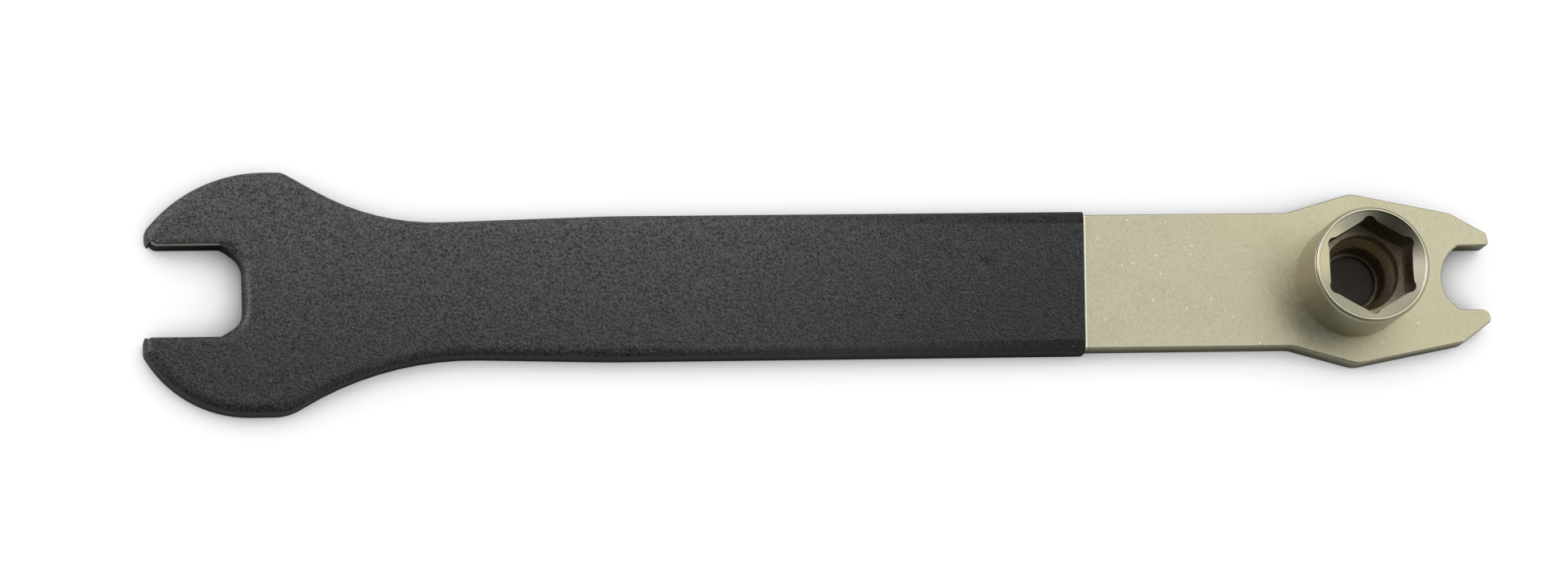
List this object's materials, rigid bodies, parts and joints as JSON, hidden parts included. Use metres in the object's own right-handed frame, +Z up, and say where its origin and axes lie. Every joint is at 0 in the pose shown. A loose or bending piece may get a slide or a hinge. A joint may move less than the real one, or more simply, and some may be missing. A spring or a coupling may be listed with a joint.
{
  "type": "pedal wrench",
  "caption": "Flat steel pedal wrench with an open end, a hex socket beside a forked tip, and a handle dipped in soft black plastic.",
  "frame": {"origin": "on the ground under the middle of the tool, lying on its back with the socket up", "axes": "+X along the bar from the open end to the fork, +Y across the bar, +Z up along the socket's axis"},
  "size_m": [0.2251, 0.0401, 0.0195],
  "materials": {
    "plated_bar": "satin nickel plate on blasted steel",
    "plated_socket": "satin nickel plate on turned steel",
    "dipped_plastic": "matte dipped soft plastic"
  },
  "bodies": {
    "root": {"wrench_bar": "plated_bar", "hex_socket": "plated_socket", "handle_coating": "dipped_plastic"}
  },
  "joints": []
}
